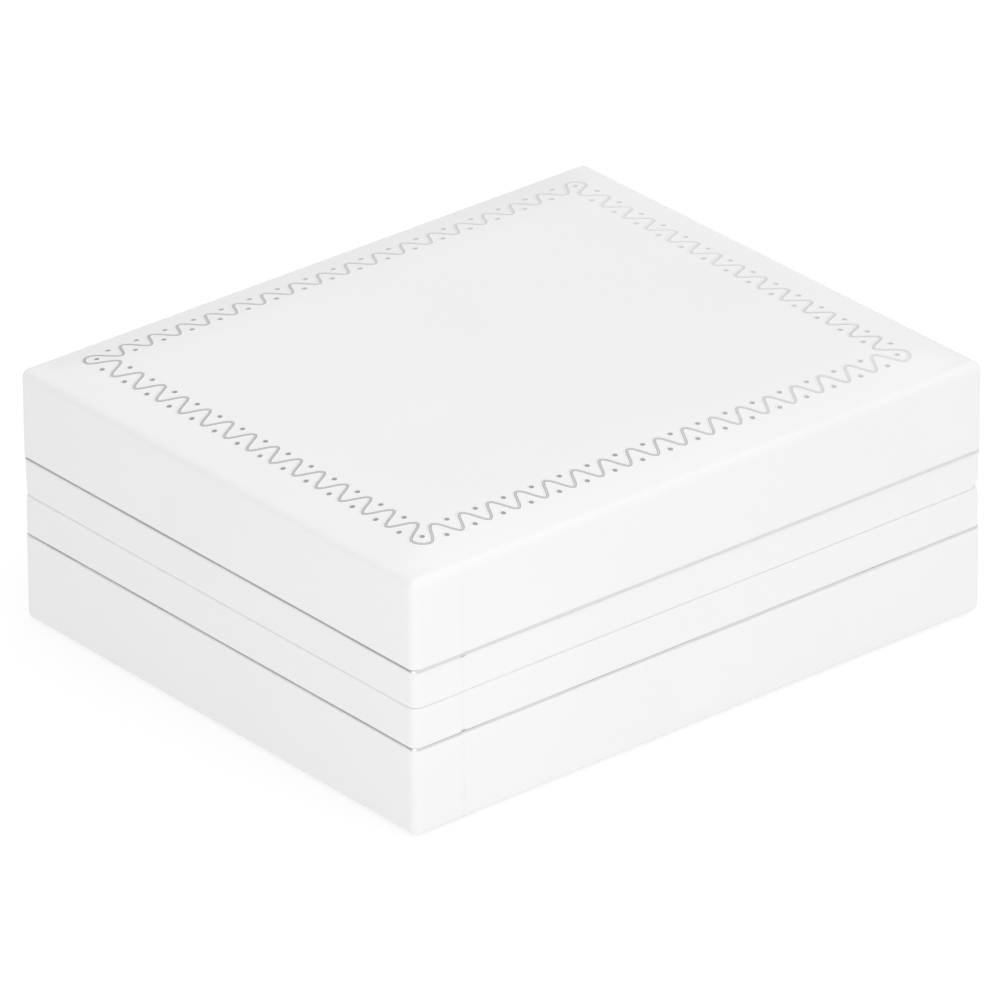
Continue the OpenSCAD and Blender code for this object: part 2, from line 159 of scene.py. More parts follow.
def wall_radius(inset):
    """The corners' radius on a wall, which gets smaller inwards."""
    return max(INNER_CORNER_R, CORNER_R - inset)


def unevenness(points, seed, wavelength, height):
    """A gentle, repeatable hand-made unevenness along a ring of 3-D points."""
    shift = Vector((seed * 7.3, seed * 1.9, seed * 3.1))
    return np.array([height * noise.noise(Vector(p) / wavelength + shift) for p in points])


def wall_ring(inset, z, relief=None):
    """A level ring of points on a wall. relief pushes each point outward."""
    points = plan_ring(inset, wall_radius(inset))
    ring = np.column_stack([points, np.full(COUNT, z)])
    if relief is not None:
        ring[:, :2] += NORMALS * relief(ring)[:, None]
    return ring


def outer_rings(section, relief, depth):
    """The section's rings on the walls, with the relief on those that lie no deeper than depth."""
    return [wall_ring(i, z, relief if i < depth else None) for i, z in section]


def flap_step(ring):
    """The covering's end laps over its start on the front, close to the left corner."""
    lapped = (ring[:, 0] < FLAP_END) & (NORMALS[:, 1] < -0.9)
    corner = np.clip((ring[:, 0] + HALF_W) / (3 * MM), 0, 1)
    return np.where(lapped, FLAP_STEP * corner, 0.0)


def skin_relief(seed, height=0.05 * MM):
    """How far a skin's points stand out: the covering's overlap and a little unevenness."""

    def relief(ring):
        return flap_step(ring) - 0.04 * MM + unevenness(ring, seed, 14 * MM, height)

    return relief


# ---------------------------------------------------------------- meshes


def add_mesh(name, vertices, faces):
    """A new object in the scene, with its normals outward."""
    mesh = bpy.data.meshes.new(name)
    mesh.from_pydata([tuple(v) for v in vertices], [], faces)
    mesh.validate()
    piece = bpy.data.objects.new(name, mesh)
    bpy.context.collection.objects.link(piece)
    tidy_normals(mesh)
    return piece


def tidy_normals(mesh):
    """Joins points that lie in one place and turns all faces outward."""
    bm = bmesh.new()
    bm.from_mesh(mesh)
    bmesh.ops.remove_doubles(bm, verts=bm.verts, dist=1e-7)
    bmesh.ops.recalc_face_normals(bm, faces=bm.faces)
    bm.to_mesh(mesh)
    bm.free()


def smooth(piece, degrees):
    """Smooth shading, with creases where faces meet at more than the angle."""
    piece.data.shade_smooth()
    piece.data.set_sharp_from_angle(angle=math.radians(degrees))


def bridge(count, rings, closed):
    """Faces between neighbouring rings of count points each, and back to the first ring if closed."""
    faces = []
    last = rings if closed else rings - 1
    for r in range(last):
        a = r * count
        b = ((r + 1) % rings) * count
        for k in range(count):
            n = (k + 1) % count
            faces.append((a + k, a + n, b + n, b + k))
    return faces


def swept_loop(name, rings):
    """A closed solid: the rings follow its section all the way round."""
    return add_mesh(name, np.concatenate(rings), bridge(COUNT, len(rings), True))


def swept_dome(name, rings):
    """A closed solid: the rings run from the middle of one end to the middle of the other."""
    faces = bridge(COUNT, len(rings), False)
    end = (len(rings) - 1) * COUNT
    faces.append(tuple(range(COUNT - 1, -1, -1)))
    faces.append(tuple(range(end, end + COUNT)))
    return add_mesh(name, np.concatenate(rings), faces)


def arc(inset, z, radius, start, end, steps=6):
    """(inset, z) points of a rounded edge. 0 degrees points outward and 90 up."""
    angles = [math.radians(start + (end - start) * k / steps) for k in range(steps + 1)]
    return [(inset - radius * math.cos(a), z + radius * math.sin(a)) for a in angles]


def spread(start, end, steps):
    """(inset, z) points between two, with neither end."""
    return [
        (start[0] + (end[0] - start[0]) * k / steps, start[1] + (end[1] - start[1]) * k / steps)
        for k in range(1, steps)
    ]


def joined(name, pieces):
    """One piece made of several, which are then removed."""
    bm = bmesh.new()
    for piece in pieces:
        bm.from_mesh(piece.data)
        bpy.data.objects.remove(piece)
    mesh = bpy.data.meshes.new(name)
    bm.to_mesh(mesh)
    bm.free()
    whole = bpy.data.objects.new(name, mesh)
    bpy.context.collection.objects.link(whole)
    return whole


def box_cutter(low, high):
    """A plain box."""
    corners = [(x, y, z) for z in (low[2], high[2]) for y in (low[1], high[1]) for x in (low[0], high[0])]
    faces = [(0, 2, 3, 1), (4, 5, 7, 6), (0, 1, 5, 4), (2, 6, 7, 3), (0, 4, 6, 2), (1, 3, 7, 5)]
    return add_mesh("cutter", corners, faces)


def pill_cutter(centre, turn, length, width, low, high):
    """An upright slot with round ends."""
    steps = 8
    outline = []
    for end in (0, 1):
        for k in range(steps + 1):
            a = math.pi * (k / steps - 0.5) + math.pi * end
            x = (0.5 - end) * (length - width) + width / 2 * math.cos(a)
            outline.append(Matrix.Rotation(turn, 2) @ Vector((x, width / 2 * math.sin(a))))
    count = len(outline)
    vertices = [(centre[0] + p.x, centre[1] + p.y, z) for z in (low, high) for p in outline]
    faces = [(k, (k + 1) % count, count + (k + 1) % count, count + k) for k in range(count)]
    faces += [tuple(range(count - 1, -1, -1)), tuple(range(count, 2 * count))]
    return add_mesh("cutter", vertices, faces)


def applied(piece):
    """Makes the piece's modifiers part of its mesh."""
    graph = bpy.context.evaluated_depsgraph_get()
    mesh = bpy.data.meshes.new_from_object(piece.evaluated_get(graph))
    piece.modifiers.clear()
    piece.data = mesh
    return piece


def cut(piece, cutters):
    """Takes the cutters' shapes out of the piece."""
    for cutter in cutters:
        modifier = piece.modifiers.new("cut", "BOOLEAN")
        modifier.operation = "DIFFERENCE"
        modifier.solver = "EXACT"
        modifier.object = cutter
    applied(piece)
    for cutter in cutters:
        bpy.data.objects.remove(cutter)


def finish_piece(piece, body, node, material, degrees=35):
    """Gives a piece its material and shading and its body, and hides the node that it stands for."""
    piece.data.materials.clear()
    piece.data.materials.append(material)
    smooth(piece, degrees)
    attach(piece, body)
    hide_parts(node)


# ---------------------------------------------------------------- materials


class Graph:
    """A short way to write a material's nodes."""

    def __init__(self, name):
        self.material = bpy.data.materials.new(name)
        self.material.use_nodes = True
        self.nodes = self.material.node_tree.nodes
        self.links = self.material.node_tree.links
        self.shader = self.nodes["Principled BSDF"]
        self.place = self.nodes.new("ShaderNodeTexCoord").outputs["Object"]

    def set(self, **values):
        for name, value in values.items():
            self.shader.inputs[name.replace("_", " ")].default_value = value

    def link(self, output, name):
        self.links.new(output, self.shader.inputs[name])

    def stretched(self, scale):
        node = self.nodes.new("ShaderNodeMapping")
        node.inputs["Scale"].default_value = scale
        self.links.new(self.place, node.inputs["Vector"])
        return node.outputs["Vector"]

    def noise(self, size, detail=2.0, place=None):
        node = self.nodes.new("ShaderNodeTexNoise")
        node.inputs["Scale"].default_value = 1 / size
        node.inputs["Detail"].default_value = detail
        self.links.new(place or self.place, node.inputs["Vector"])
        return node.outputs["Fac"]

    def cells(self, size):
        node = self.nodes.new("ShaderNodeTexVoronoi")
        node.feature = "SMOOTH_F1"
        node.inputs["Scale"].default_value = 1 / size
        self.links.new(self.place, node.inputs["Vector"])
        return node.outputs["Distance"]

    def math(self, operation, a, b):
        node = self.nodes.new("ShaderNodeMath")
        node.operation = operation
        for socket, value in zip(node.inputs, (a, b)):
            if isinstance(value, (int, float)):
                socket.default_value = value
            else:
                self.links.new(value, socket)
        return node.outputs[0]

    def along(self, direction, start, end):
        """From 0 to 1 along a direction, between two distances from the middle of the box."""
        node = self.nodes.new("ShaderNodeVectorMath")
        node.operation = "DOT_PRODUCT"
        self.links.new(self.place, node.inputs[0])
        node.inputs[1].default_value = direction
        return self.math("DIVIDE", self.math("SUBTRACT", node.outputs["Value"], start), end - start)

    def mapped(self, value, low, high):
        node = self.nodes.new("ShaderNodeMapRange")
        node.inputs["To Min"].default_value = low
        node.inputs["To Max"].default_value = high
        self.links.new(value, node.inputs["Value"])
        return node.outputs["Result"]

    def tinted(self, value, low, high):
        node = self.nodes.new("ShaderNodeMix")
        node.data_type = "RGBA"
        node.inputs["A"].default_value = (*low, 1)
        node.inputs["B"].default_value = (*high, 1)
        self.links.new(value, node.inputs["Factor"])
        return node.outputs["Result"]

    def bump(self, height, distance, strength=1.0, normal=None):
        node = self.nodes.new("ShaderNodeBump")
        node.inputs["Strength"].default_value = strength
        node.inputs["Distance"].default_value = distance
        self.links.new(height, node.inputs["Height"])
        if normal is not None:
            self.links.new(normal, node.inputs["Normal"])
        return node.outputs["Normal"]


def leatherette():
    """Smooth white leatherette: very fine pores, slow waves in the glue, a soft even gloss."""
    g = Graph("leatherette")
    g.link(g.tinted(g.noise(24 * MM), (0.82, 0.82, 0.82), (0.845, 0.845, 0.845)), "Base Color")
    g.link(g.mapped(g.noise(9 * MM, 4.0), 0.36, 0.46), "Roughness")
    slow = g.bump(g.noise(11 * MM), 0.05 * MM)
    pores = g.bump(g.cells(0.28 * MM), 0.008 * MM, 0.8, slow)
    g.link(g.bump(g.noise(0.09 * MM, 3.0), 0.003 * MM, 0.7, pores), "Normal")
    g.set(Specular_IOR_Level=0.45)
    return g.material


# Painted light on the foil: its colour brightens along this way, from the first distance to the second, for
# light falling from the back right.
FOIL_PAINTED_LIGHT_WAY = (0.85, 0.53, 0)
FOIL_PAINTED_LIGHT_START = -22 * MM
FOIL_PAINTED_LIGHT_END = 42 * MM


def silver_foil(name, dull, bright, with_painted_light=False):
    """Hot-stamped foil: mirror-like metal, broken up by the leatherette under it. When the ramp is on,
    painted light is added
    to its colour: it gets brighter from the lid's front left corner to its back right one."""
    g = Graph(name)
    tone_and_painted_light = g.noise(1.5 * MM, 3.0)
    if with_painted_light:
        # Painted light: a brightness ramp across the lid, added to the foil's random tone.
        painted_light_ramp = g.along(FOIL_PAINTED_LIGHT_WAY, FOIL_PAINTED_LIGHT_START, FOIL_PAINTED_LIGHT_END)
        tone_and_painted_light = g.math("ADD", painted_light_ramp, g.mapped(tone_and_painted_light, -0.15, 0.15))
    g.link(g.tinted(tone_and_painted_light, dull, bright), "Base Color")
    g.link(g.mapped(g.noise(0.8 * MM, 3.0), 0.22, 0.42), "Roughness")
    g.link(g.bump(g.noise(0.35 * MM, 3.0), 0.02 * MM), "Normal")
    g.set(Metallic=1.0)
    return g.material


def velvet():
    """Short white pile: matt, with a bright edge and soft brushed patches."""
    g = Graph("velvet")
    patches = g.noise(6 * MM, 3.0)
    g.link(g.tinted(patches, (0.68, 0.68, 0.675), (0.84, 0.84, 0.835)), "Base Color")
    pile = g.bump(g.noise(0.3 * MM, 2.0), 0.2 * MM)
    g.link(g.bump(patches, 0.15 * MM, 0.6, pile), "Normal")
    g.set(Roughness=0.95, Specular_IOR_Level=0.15, Sheen_Weight=0.35, Sheen_Roughness=0.4)
    return g.material


def satin():
    """White satin: floats run one way, so the gloss is drawn out across them."""
    g = Graph("satin")
    threads = g.noise(0.25 * MM, 2.0, g.stretched((0.06, 1.0, 1.0)))
    g.link(g.tinted(threads, (0.76, 0.76, 0.755), (0.83, 0.83, 0.825)), "Base Color")
    g.link(g.mapped(threads, 0.30, 0.42), "Roughness")
    g.link(g.bump(threads, 0.03 * MM, 0.8), "Normal")
    g.set(Specular_IOR_Level=0.6, Anisotropic=0.5, Sheen_Weight=0.15, Sheen_Roughness=0.3)
    return g.material


def moulded_plastic():
    """Dull white moulding of the hidden shells."""
    g = Graph("moulded_plastic")
    g.link(g.tinted(g.noise(5 * MM), (0.66, 0.66, 0.65), (0.70, 0.70, 0.69)), "Base Color")
    g.link(g.bump(g.noise(0.3 * MM, 3.0), 0.01 * MM), "Normal")
    g.set(Roughness=0.55)
    return g.material


def foam():
    """Off-white open foam with small cells."""
    g = Graph("foam")
    cells = g.cells(0.6 * MM)
    g.link(g.tinted(cells, (0.72, 0.72, 0.71), (0.80, 0.80, 0.79)), "Base Color")
    g.link(g.bump(cells, 0.15 * MM), "Normal")
    g.set(Roughness=0.95)
    return g.material


def card():
    """Plain card with short fibres."""
    g = Graph("card")
    fibres = g.noise(0.5 * MM, 4.0, g.stretched((0.3, 1.0, 1.0)))
    g.link(g.tinted(fibres, (0.60, 0.58, 0.53), (0.70, 0.68, 0.63)), "Base Color")
    g.link(g.bump(fibres, 0.02 * MM), "Normal")
    g.set(Roughness=0.85)
    return g.material


def bottom_paper():
    """White paper sheet with a fine pressed linen grain."""
    g = Graph("bottom_paper")
    warp = g.noise(0.35 * MM, 1.0, g.stretched((0.12, 1.0, 1.0)))
    weft = g.noise(0.35 * MM, 1.0, g.stretched((1.0, 0.12, 1.0)))
    g.link(g.tinted(g.noise(12 * MM), (0.74, 0.74, 0.73), (0.79, 0.79, 0.78)), "Base Color")
    g.link(g.bump(g.math("MAXIMUM", warp, weft), 0.03 * MM), "Normal")
    g.set(Roughness=0.7)
    return g.material


def hinge_metal(name, low, high, roughness):
    """Stamped and plated sheet metal, brushed along its length."""
    g = Graph(name)
    brushing = g.noise(0.12 * MM, 3.0, g.stretched((0.05, 1.0, 1.0)))
    g.link(g.tinted(brushing, low, high), "Base Color")
    g.link(g.mapped(brushing, roughness - 0.08, roughness + 0.1), "Roughness")
    g.link(g.bump(brushing, 0.004 * MM), "Normal")
    g.set(Metallic=1.0)
    return g.material


def floor_white():
    """A pale sweep that glows a little, as a lit table in a studio does."""
    g = Graph("floor_white")
    g.link(g.tinted(g.noise(120 * MM), (0.42, 0.42, 0.42), (0.43, 0.43, 0.43)), "Base Color")
    g.set(Roughness=0.9, Specular_IOR_Level=0.1, Emission_Color=(1, 1, 1, 1), Emission_Strength=0.59)
    return g.material


LEATHER = leatherette()
FOIL = silver_foil("silver_foil", (0.68, 0.68, 0.69), (0.78, 0.78, 0.79))
FOIL_WAVE = silver_foil("silver_foil_wave", (0.64, 0.64, 0.65), (0.92, 0.92, 0.92), True)
# Painted shade: the wave's rims and the dots get darker foil colours than the wave's middle.
FOIL_SHADED_RIMS = silver_foil("silver_foil_shaded_rims", (0.42, 0.42, 0.43), (0.84, 0.84, 0.84), True)
FOIL_SHADED_DOTS = silver_foil("silver_foil_shaded_dots", (0.40, 0.40, 0.41), (0.80, 0.80, 0.80), True)
VELVET = velvet()
SATIN = satin()
PLASTIC = moulded_plastic()
FOAM = foam()
CARD = card()
PAPER = bottom_paper()
PLATED = hinge_metal("plated_metal", (0.60, 0.60, 0.61), (0.74, 0.74, 0.75), 0.3)
SPRING = hinge_metal("spring_steel", (0.42, 0.43, 0.45), (0.55, 0.56, 0.58), 0.36)

KEPT = {
    "base_shell": PLASTIC,
    "lid_shell": PLASTIC,
    "lid_top_foam": FOAM,
    "insert_foam": FOAM,
    "lid_pad_foam": FOAM,
    "insert_card": CARD,
    "lid_pad_card": CARD,
    "base_bottom_sheet": PAPER,
    "hinge_left_base_leaf": PLATED,
    "hinge_right_base_leaf": PLATED,
    "hinge_left_lid_leaf": PLATED,
    "hinge_right_lid_leaf": PLATED,
    "hinge_left_pin": PLATED,
    "hinge_right_pin": PLATED,
    "base_hinge_rivets": PLATED,
    "lid_hinge_rivets": PLATED,
    "hinge_left_spring": SPRING,
    "hinge_right_spring": SPRING,
}


def dress_kept_nodes():
    """Gives the nodes that stay as they are their materials."""
    for name, material in KEPT.items():
        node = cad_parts[name]
        node.data.materials.clear()
        node.data.materials.append(material)


# ---------------------------------------------------------------- covering of the base


def base_wrap():
    """The skin round the base, folded under at the bottom."""
    low = WRAP_LOW[2]
    relief = skin_relief(1)
    section = [(FOLD_FLANGE, low + WRAP_T), (FOLD_FLANGE, low)]
    section += spread((FOLD_FLANGE, low), (FOLD_R, low), 6)
    section += arc(FOLD_R, low + FOLD_R, FOLD_R, -90, 0, 6)
    section += spread((0, low + FOLD_R), (0, BASE_TRIM_LOW - SKIN_LIP), 10)
    section += arc(SKIN_LIP, BASE_TRIM_LOW - SKIN_LIP, SKIN_LIP, 0, 90, 4)
    section += [(WRAP_T, BASE_TRIM_LOW), (WRAP_T, low + WRAP_T)]
    piece = swept_loop("base_wrap_looks", outer_rings(section, relief, 0.4 * MM))
    finish_piece(piece, "base", "base_wrap", LEATHER)


def corner_pull(rim, tuck):
    """The strip is drawn in where it folds over the rim at the corners, and tucked in at the front right."""

    def relief(ring):
        to_corner = np.hypot(HALF_W - np.abs(ring[:, 0]), HALF_D - np.abs(ring[:, 1]))
        to_rim = np.abs(ring[:, 2] - rim)
        pulled = np.clip(1 - to_corner / PULL_REACH, 0, 1) ** 2 * np.clip(1 - to_rim / PULL_HEIGHT, 0, 1)
        tucked = np.clip(1 - to_corner / TUCK_REACH, 0, 1) * np.clip(1 - to_rim / TUCK_HEIGHT, 0, 1)
        front_right = (ring[:, 0] > 0) & (ring[:, 1] < 0)
        return -PULL_DEPTH * pulled - np.where(front_right, tuck * tucked, 0.0)

    return relief


def strip_relief(seed, tuck):
    """How far a rim strip's points stand out."""
    pull = corner_pull(SEAM, tuck)
    skin = skin_relief(seed, 0.04 * MM)
    return lambda ring: skin(ring) + pull(ring)


def rim_section(edge, rim, leg, up, rim_r):
    """A strip's section, from its foil line over the rim and inside. up is 1 on the base, -1 on the lid."""
    lip = 0.07 * MM
    cap = SEAM - up * STRIP_CAP
    back = WALL_IN + STRIP_LEG
    turn = 0.35 * MM
    section = [(WRAP_T, edge)]
    section += [(i, edge + up * (lip - z)) for i, z in arc(STRIP_INSET + lip, 0, lip, 90, 0, 4)]
    section += spread((STRIP_INSET, edge + up * lip), (STRIP_INSET, rim - up * rim_r), 10)
    section += [(i, rim - up * (rim_r - z)) for i, z in arc(STRIP_INSET + rim_r, 0, rim_r, 0, 90, 8)]
    section += spread((STRIP_INSET + rim_r, rim), (back - turn, rim), 3)
    section += [(i, rim - up * (turn - z)) for i, z in arc(back - turn, 0, turn, 90, 180, 6)]
    section += [(back, leg), (WALL_IN, leg), (WALL_IN, cap), (WRAP_T, cap)]
    return section


def back_cutters(node, half, near, far, low, high):
    """A box in the back wall at each hinge's leaf. half is half its width."""
    cutters = []
    for side in ("left", "right"):
        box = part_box(f"hinge_{side}_{node}_leaf")
        middle = (box[0][0] + box[1][0]) / 2
        cutters.append(box_cutter((middle - half, near, low), (middle + half, far, high)))
    return cutters


def knuckle_cutters(node, low, high):
    """Notches in the back wall round the hinges' knuckles."""
    return back_cutters(node, KNUCKLE_HALF, HALF_D - NOTCH_DEPTH, HALF_D + 2 * MM, low, high)


def recess_cutters(node, low, high):
    """Recesses for the hinges' leaves in what covers the inside of the back wall."""
    near = HALF_D - NOTCH_DEPTH - CUT_PLAY
    return back_cutters(node, LEAF_HALF, near, HALF_D - WALL_IN + CUT_PLAY, low, high)


def nick_cutter(low, high):
    """A small tear at the end of the front flap, where the strip meets the foil line."""
    return pill_cutter((FLAP_END, -HALF_D + STRIP_INSET), 0, 0.9 * MM, 0.5 * MM, low, high)


def rim_strip(name, body, section, relief, cutters):
    piece = swept_loop(f"{name}_looks", outer_rings(section, relief, 0.7 * MM))
    cut(piece, cutters)
    finish_piece(piece, body, name, LEATHER)


def base_rim_strip():
    leg = BASE_RIM - 4 * MM
    section = rim_section(BASE_TRIM_HIGH, SEAM - RIM_GAP / 2, leg, 1, BASE_RIM_R)
    cutters = knuckle_cutters("base", SEAM - 1.8 * MM, SEAM + MM)
    cutters += recess_cutters("base", leg - MM, SEAM + 1.1 * MM)
    cutters.append(nick_cutter(BASE_TRIM_HIGH - MM, BASE_TRIM_HIGH + 0.3 * MM))
    rim_strip("base_rim_strip", "base", section, strip_relief(seed=2, tuck=0.3 * MM), cutters)


def lid_rim_strip():
    leg = LID_RIM + 4 * MM
    section = rim_section(LID_TRIM_LOW, SEAM + RIM_GAP / 2, leg, -1, LID_RIM_R)
    cutters = knuckle_cutters("lid", SEAM - MM, SEAM + 1.6 * MM)
    cutters += recess_cutters("lid", SEAM - 1.1 * MM, leg + MM)
    cutters.append(nick_cutter(LID_TRIM_LOW - 0.15 * MM, LID_TRIM_LOW + MM))
    rim_strip("lid_rim_strip", "lid", section, strip_relief(seed=3, tuck=0.95 * MM), cutters)


def trim_line(name, body, low, high, seed, lean):
    """A foil line between two skins: its face leans back and up, and waves a little as it is laid by hand."""
    proud = 0.02 * MM
    height = high - low
    section = [(WRAP_T, low), (proud + 0.03 * MM, low), (proud, low + 0.03 * MM)]
    section += [(proud + lean * (k / 6) ** 1.6, low + height * (0.1 + 0.9 * k / 6)) for k in range(1, 7)]
    section += [(WRAP_T, high)]
    rings = []
    for inset, z in section:
        ring = wall_ring(inset, z, skin_relief(seed, 0.04 * MM) if inset < WRAP_T else None)
        ring[:, 2] += unevenness(ring * (1, 1, 0), seed + 5, 9 * MM, 0.05 * MM)
        rings.append(ring)
    piece = swept_loop(f"{name}_looks", rings)
    finish_piece(piece, body, name, FOIL)


# ---------------------------------------------------------------- cushioned lid

CROWN_START = LID_EDGE_R * (1 - math.cos(LID_EDGE_END))
CROWN_LOW = LID_EDGE_Z - LID_EDGE_R * (1 - math.sin(LID_EDGE_END))
CROWN_RISE = LID_TOP - CROWN_LOW
# How far in the rings of the crown lie, in millimetres: close together where it curves
CROWN_INSETS = (
    1.8, 2.4, 3, 3.7, 4.4, 5.1, 5.8, 6.5, 7.2, 7.9, 8.6, 9.3, 10, 11, 12, 14, 17, 21, 25, 29, 33, 36, 38, 39,
)


def shoulder(inset):
    """From 0 at the lid's rounded edge to 1 on the flat middle."""
    t = np.clip((inset - CROWN_START) / (CROWN_RUN - CROWN_START), 0, 1)
    return 1 - (1 - t) ** 2


def crown_z(x, y):
    """Height of the cushioned top: the two shoulders blend softly at the corners."""
    fall_x = 1 - shoulder(HALF_W - np.abs(x))
    fall_y = 1 - shoulder(HALF_D - np.abs(y))
    return CROWN_LOW + CROWN_RISE * (1 - np.clip(np.cbrt(fall_x**3 + fall_y**3), 0, 1))


def skin_z(points):
    """Height of the leatherette on top: the cushioned form with a little hand-made unevenness."""
    level = np.column_stack([points[:, 0], points[:, 1], np.zeros(len(points))])
    return crown_z(points[:, 0], points[:, 1]) + unevenness(level, 9, 20 * MM, 0.05 * MM) - 0.05 * MM


def crown_ring(inset, drop=0.0):
    """A ring on the lid's skin, or below it by drop. Its corners get rounder inwards."""
    radius = min(CORNER_R + 0.3 * inset, 0.85 * (HALF_D - inset))
    points = plan_ring(inset, radius)
    return np.column_stack([points, skin_z(points) - drop])


def lid_wrap():
    """The skin over the lid, with the raised lips of the pressed border."""
    relief = skin_relief(4)
    low = LID_TRIM_HIGH
    side_top = LID_EDGE_Z - LID_EDGE_R
    section = [(WRAP_T, side_top), (WRAP_T, low)]
    section += [(i, low + SKIN_LIP - z) for i, z in arc(SKIN_LIP, 0, SKIN_LIP, 90, 0, 4)]
    section += spread((0, low + SKIN_LIP), (0, side_top), 12)
    rings = outer_rings(section, relief, 0.4 * MM)
    edge = arc(LID_EDGE_R, side_top, LID_EDGE_R, 0, math.degrees(LID_EDGE_END), 9)
    fade = np.linspace(1, 0, len(edge))
    for (inset, z), share in zip(edge, fade):
        rings.append(wall_ring(inset, z, lambda ring, share=share: relief(ring) * share))
    rings += [crown_ring(i * MM) for i in CROWN_INSETS]
    inner = [crown_ring(i * MM, WRAP_T) for i in reversed(CROWN_INSETS[2:])]
    skin = swept_dome("lid_wrap_skin", inner + rings)
    lips, _ = pressed("lid_wrap_lips", LIP_SECTION, LIP_DOT_SECTION)
    piece = joined("lid_wrap_looks", [skin, lips])
    finish_piece(piece, "lid", "lid_wrap", LEATHER, 60)


# ---------------------------------------------------------------- foil border

# Crests on a long and on a short side
LONG_WAVES = 17
SHORT_WAVES = 14
# How far the crests and the dots lie from a side's middle line, and the first crest from the corner's dot
WAVE_AMP = 1.55 * MM
DOT_AMP = 1.38 * MM
FIRST_CREST = 2.9 * MM
LOOP_R = 1.65 * MM
FOIL_W = 0.38 * MM
DOT_R = 0.34 * MM
WAVE_STEPS = 20
LOOP_STEPS = 14
FOIL_LOW, FOIL_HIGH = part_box("lid_border_foil")
RUN_X = FOIL_HIGH[0] - FOIL_LOW[0] - 2 * LOOP_R - FOIL_W
RUN_Y = FOIL_HIGH[1] - FOIL_LOW[1] - 2 * LOOP_R - FOIL_W


def loop_lead(k):
    """From a side's last crest down to the corner loop, seen from the corner's dot."""
    s = k / LOOP_STEPS
    middle = (WAVE_AMP - LOOP_R) / 2
    return (-FIRST_CREST * (1 - s), middle + (WAVE_AMP + LOOP_R) / 2 * math.cos(math.pi * s))


def corner_loop():
    """A corner's loop from one side's last crest to the next side's first, seen from the corner's dot."""
    lead = [loop_lead(k) for k in range(1, LOOP_STEPS + 1)]
    turns = [math.pi / 2 * (k / LOOP_STEPS - 1) for k in range(1, LOOP_STEPS)]
    bend = [(LOOP_R * math.cos(a), LOOP_R * math.sin(a)) for a in turns]
    return lead + bend + [(-y, -x) for x, y in lead[::-1]]


def side_wave(length, count):
    """A side's wave and the corner loop after it, from the corner's dot before it. count is its crests."""
    pitch = (length - 2 * FIRST_CREST) / (count - 1)
    waves = [k / WAVE_STEPS for k in range(WAVE_STEPS * (count - 1) + 1)]
    wave = [(FIRST_CREST + pitch * w, WAVE_AMP * math.cos(2 * math.pi * w)) for w in waves]
    return wave + [(x + length, y) for x, y in corner_loop()]


def side_dots(length, count):
    """A side's corner dot, a dot outside each crest and a dot inside each trough."""
    pitch = (length - 2 * FIRST_CREST) / (count - 1)
    outer = [(FIRST_CREST + k * pitch, -DOT_AMP) for k in range(count)]
    inner = [(FIRST_CREST + (k + 0.5) * pitch, DOT_AMP) for k in range(count - 1)]
    return [(0.0, 0.0)] + outer + inner


CORNER_SLIPS = ((-1, -1, -0.04, 0.45), (1, -1, -1.12, 0.11), (1, 1, 0.22, -0.15), (-1, 1, 0.22, 0.59))


def askew(points):
    """The border lies a little askew. Each slip is a corner's signs in x and y, and its movement in mm."""
    x = points[:, :1] / (RUN_X / 2)
    y = points[:, 1:] / (RUN_Y / 2)
    moves = [(1 + sx * x) * (1 + sy * y) / 4 * MM * np.array([(dx, dy)]) for sx, sy, dx, dy in CORNER_SLIPS]
    return points + sum(moves)


def round_the_border(long_side, short_side):
    """Places a long side's and a short side's points at the four sides in turn."""
    x = RUN_X / 2
    y = RUN_Y / 2
    starts = ((-x, -y), (x, -y), (x, y), (-x, y))
    sides = (long_side, short_side, long_side, short_side)
    points = []
    for side, turn, start in zip(sides, (0, 90, 180, 270), starts):
        spin = Matrix.Rotation(math.radians(turn), 2)
        points += [Vector(start) + spin @ Vector(p) for p in side]
    return askew(np.array([(p.x, p.y) for p in points]))


# Heights above the skin, and the sections of the foil and of the lips of skin beside it
BURIED = -0.08 * MM
FOIL_EDGE = 0.02 * MM
FOIL_BED = 0.01 * MM
LIP_TOP = 0.035 * MM
FOIL_SECTION = (
    (-0.5, BURIED), (-0.5, FOIL_EDGE), (-0.3, FOIL_BED),
    (0.3, FOIL_BED), (0.5, FOIL_EDGE), (0.5, BURIED),
)
FOIL_DOT_SECTION = ((0.05, BURIED), (1.0, BURIED), (1.0, FOIL_EDGE), (0.7, FOIL_BED), (0.05, FOIL_BED))
LIP_SECTION = (
    (-1.3, BURIED), (-1.2, 0.0), (-0.8, LIP_TOP), (-0.52, FOIL_BED), (-0.5, BURIED / 2),
    (0.5, BURIED / 2), (0.52, FOIL_BED), (0.8, LIP_TOP), (1.2, 0.0), (1.3, BURIED),
)
LIP_DOT_SECTION = ((0.98, BURIED), (1.8, BURIED), (1.7, 0.0), (1.3, LIP_TOP), (1.02, FOIL_BED))


def pressed_line(line, section):
    """A closed ribbon along the line. The section's places are in line widths, its heights in metres."""
    ahead = np.roll(line, -1, axis=0) - np.roll(line, 1, axis=0)
    ahead /= np.linalg.norm(ahead, axis=1)[:, None]
    across = np.column_stack([ahead[:, 1], -ahead[:, 0]])
    rows = []
    for share, height in section:
        row = line + across * share * FOIL_W
        rows.append(np.column_stack([row, skin_z(row) + height]))
    return np.concatenate(rows), bridge(len(line), len(section), True)


def pressed_dots(centres, section, start):
    """A small closed ring or disc round each centre. The section's places are in dot radii."""
    steps = 16
    turns = [2 * math.pi * k / steps for k in range(steps)]
    circle = np.array([(math.cos(a), math.sin(a)) for a in turns])
    rows = []
    faces = []
    for number, centre in enumerate(centres):
        first = start + number * steps * len(section)
        for share, height in section:
            row = centre + circle * share * DOT_R
            rows.append(np.column_stack([row, skin_z(row) + height]))
        faces += [tuple(first + v for v in face) for face in bridge(steps, len(section), True)]
    return np.concatenate(rows), faces


